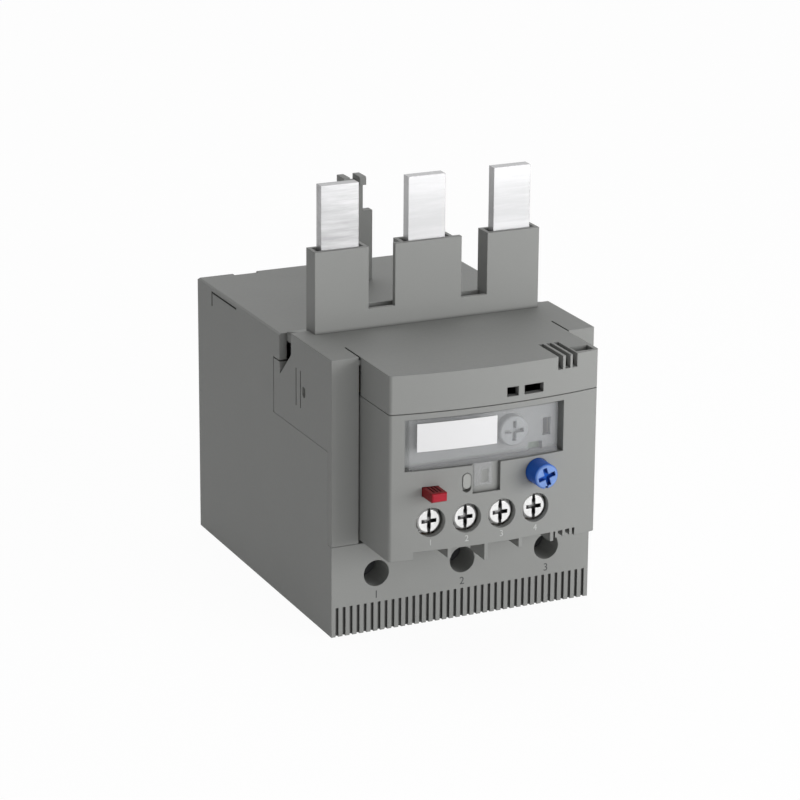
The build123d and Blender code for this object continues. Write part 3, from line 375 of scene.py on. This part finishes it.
knob_blue = rubbed(
    "knob_blue", "reset_knob",
    lit_face=linear(118, 148, 206), shaded_side=linear(14, 86, 184), recess_shade=linear(8, 18, 84), reach=0.7,
)
dress(knob_blue, "reset_knob")
button_red = rubbed(
    "button_red", "stop_button",
    lit_face=linear(160, 26, 44), shaded_side=linear(128, 8, 16), recess_shade=linear(60, 4, 10), reach=0.5,
)
dress(button_red, "stop_button")
dress(black_plastic, "reset_plunger")
dress(moulded("slide_grey", linear(152, 153, 150), grain=0.2), "test_slide")
spring_wire = brushed("spring_wire", linear(190, 190, 192), roughness=0.3)
dress(spring_wire, "reset_spring", "stop_spring")

# Window: a bowed plate of clear polycarbonate that has gone slightly milky, hinged at its
# left edge and latched by a finger below.  A white paper label lies in its shallow pocket.
HAZE = 0.08


def milky(name, colour, alpha, roughness=0.22):
    """Clear plastic with a light haze."""
    material, shader, start = blank(name)
    place = start.node("TexCoord", out="Object")
    haze = start.node("TexNoise", Vector=place, Scale=260.0, Detail=3.0)
    join(shader, "Base Color", haze.blend(shaded(colour, 0.94), colour))
    join(shader, "Roughness", roughness + haze * HAZE)
    join(shader, "Alpha", alpha - HAZE / 2 + haze * HAZE)
    edge = start.node("Bevel", {"samples": 4}, Radius=0.2 * MM)
    bump = start.node("Bump", Strength=0.05, Distance=0.03 * MM, Height=haze, Normal=edge)
    join(shader, "Normal", bump)
    shader.inputs["IOR"].default_value = 1.5
    return material


dress(milky("window_plastic", linear(206, 207, 209), alpha=0.16), "setting_window")
label_paper = moulded(
    "label_paper", linear(222, 222, 223), grain=0.12, roughness=0.7, round_edge=0.05, cloud=0.02
)
dress(label_paper, "label_plate")

# Studio: a white floor, a soft lamp low at the front right, a far one in front, a weaker one
# overhead, and an even pale surround.  Floor and surround are near white to the camera and in
# reflections, but light the object at a lower level.
FLOOR_SIZE = 3.0
FLOOR_GLOW = 1.02
FLOOR_SEEN = 0.93
FLOOR_MIRRORED = 0.8
ROOM_LIGHT = 0.21
ROOM_MIRRORED = 0.67
LAMP_SIZE = 0.5
LAMP_AWAY = 0.6
LAMP_TARGET = Vector((0, -0.02, 0.05))
bpy.ops.mesh.primitive_grid_add(
    size=FLOOR_SIZE, location=(0, 0, 0), x_subdivisions=4, y_subdivisions=4
)
floor = bpy.context.object
floor.name = "floor"
floor_white, floor_shader, start = blank("floor_white")
floor_shader.inputs["Base Color"].default_value = (0.8, 0.8, 0.8, 1)
floor_shader.inputs["Roughness"].default_value = 0.9
glow = start.node("Emission", Color=(1, 1, 1, 1), Strength=FLOOR_GLOW)
seen = start.node("LightPath", out="Is Camera Ray")
through = seen.beside("Is Transmission Ray")
mirrored = seen.beside("Is Glossy Ray")
factor = seen * FLOOR_SEEN + through * FLOOR_SEEN + mirrored * FLOOR_MIRRORED
plain = Wire(start.tree, floor_shader.outputs[0])
surface = start.node("MixShader", i0=factor, i1=plain, i2=glow)
join(floor_white.node_tree.nodes["Material Output"], "Surface", surface)
floor.data.materials.append(floor_white)

world = bpy.data.worlds.new("studio")
scene.world = world
world.use_nodes = True
surround = world.node_tree.nodes["Background"]
start = Wire(world.node_tree)
seen = start.node("LightPath", out="Is Camera Ray")
through = seen.beside("Is Transmission Ray")
mirrored = seen.beside("Is Glossy Ray")
in_view = start.node("Math", {"operation": "ADD", "use_clamp": True}, i0=seen, i1=through)
join(surround, "Strength", ROOM_LIGHT + in_view * (1 - ROOM_LIGHT) + mirrored * ROOM_MIRRORED)
surround.inputs["Color"].default_value = (1, 1, 1, 1)


def hang(name, lamp, direction):
    """A lamp that shines from that direction, at the scene's centre until it is moved."""
    made = bpy.data.objects.new(name, lamp)
    made.rotation_euler = direction.to_track_quat("Z", "Y").to_euler()
    scene.collection.objects.link(made)
    return made


for name, direction, energy, angle in (
    ("front_lamp", (-0.08, -1.0, 0.0), 1.4, 50),
    ("top_lamp", (0.05, 0.4, 0.9), 1.05, 60),
):
    far_lamp = bpy.data.lights.new(name, "SUN")
    far_lamp.energy = energy
    far_lamp.angle = math.radians(angle)
    hang(name, far_lamp, Vector(direction))
key_lamp = bpy.data.lights.new("key_lamp", "AREA")
key_lamp.size = LAMP_SIZE
key_lamp.energy = 3.85
aim = Vector((0.62, -0.78, 0.03)).normalized()
hang("key_lamp", key_lamp, aim).location = LAMP_TARGET + aim * LAMP_AWAY

# Camera: a long lens from the front left and a little above, as the photograph was taken.
# Its focal length is given in pixels of the square picture, and the two slides bring the
# object to its place in the frame.
AZIMUTH = math.radians(-24.869)
ELEVATION = math.radians(18.056)
ROLL = math.radians(0.434)
DISTANCE = 0.83226
TARGET = Vector((0, 0.040 + FRONT, 0.040))
SLIDE_RIGHT, SLIDE_UP = 0.001307, 0.003985
FOCAL_PIXELS, PICTURE_PIXELS = 3282.7, 800
SENSOR = 36
back = Vector(
    (
        math.sin(AZIMUTH) * math.cos(ELEVATION),
        -math.cos(AZIMUTH) * math.cos(ELEVATION),
        math.sin(ELEVATION),
    )
)
level = Vector((math.cos(AZIMUTH), math.sin(AZIMUTH), 0))
upright = back.cross(level)
right = math.cos(ROLL) * level + math.sin(ROLL) * upright
up = math.cos(ROLL) * upright - math.sin(ROLL) * level
lens = bpy.data.cameras.new("camera")
lens.sensor_width = SENSOR
lens.lens = FOCAL_PIXELS * SENSOR / PICTURE_PIXELS
camera = bpy.data.objects.new("camera", lens)
camera.matrix_world = Matrix(
    (
        (right.x, up.x, back.x, 0),
        (right.y, up.y, back.y, 0),
        (right.z, up.z, back.z, 0),
        (0, 0, 0, 1),
    )
)
camera.matrix_world.translation = TARGET + back * DISTANCE + right * SLIDE_RIGHT + up * SLIDE_UP
scene.collection.objects.link(camera)
scene.camera = camera
scene.view_settings.view_transform = "Standard"
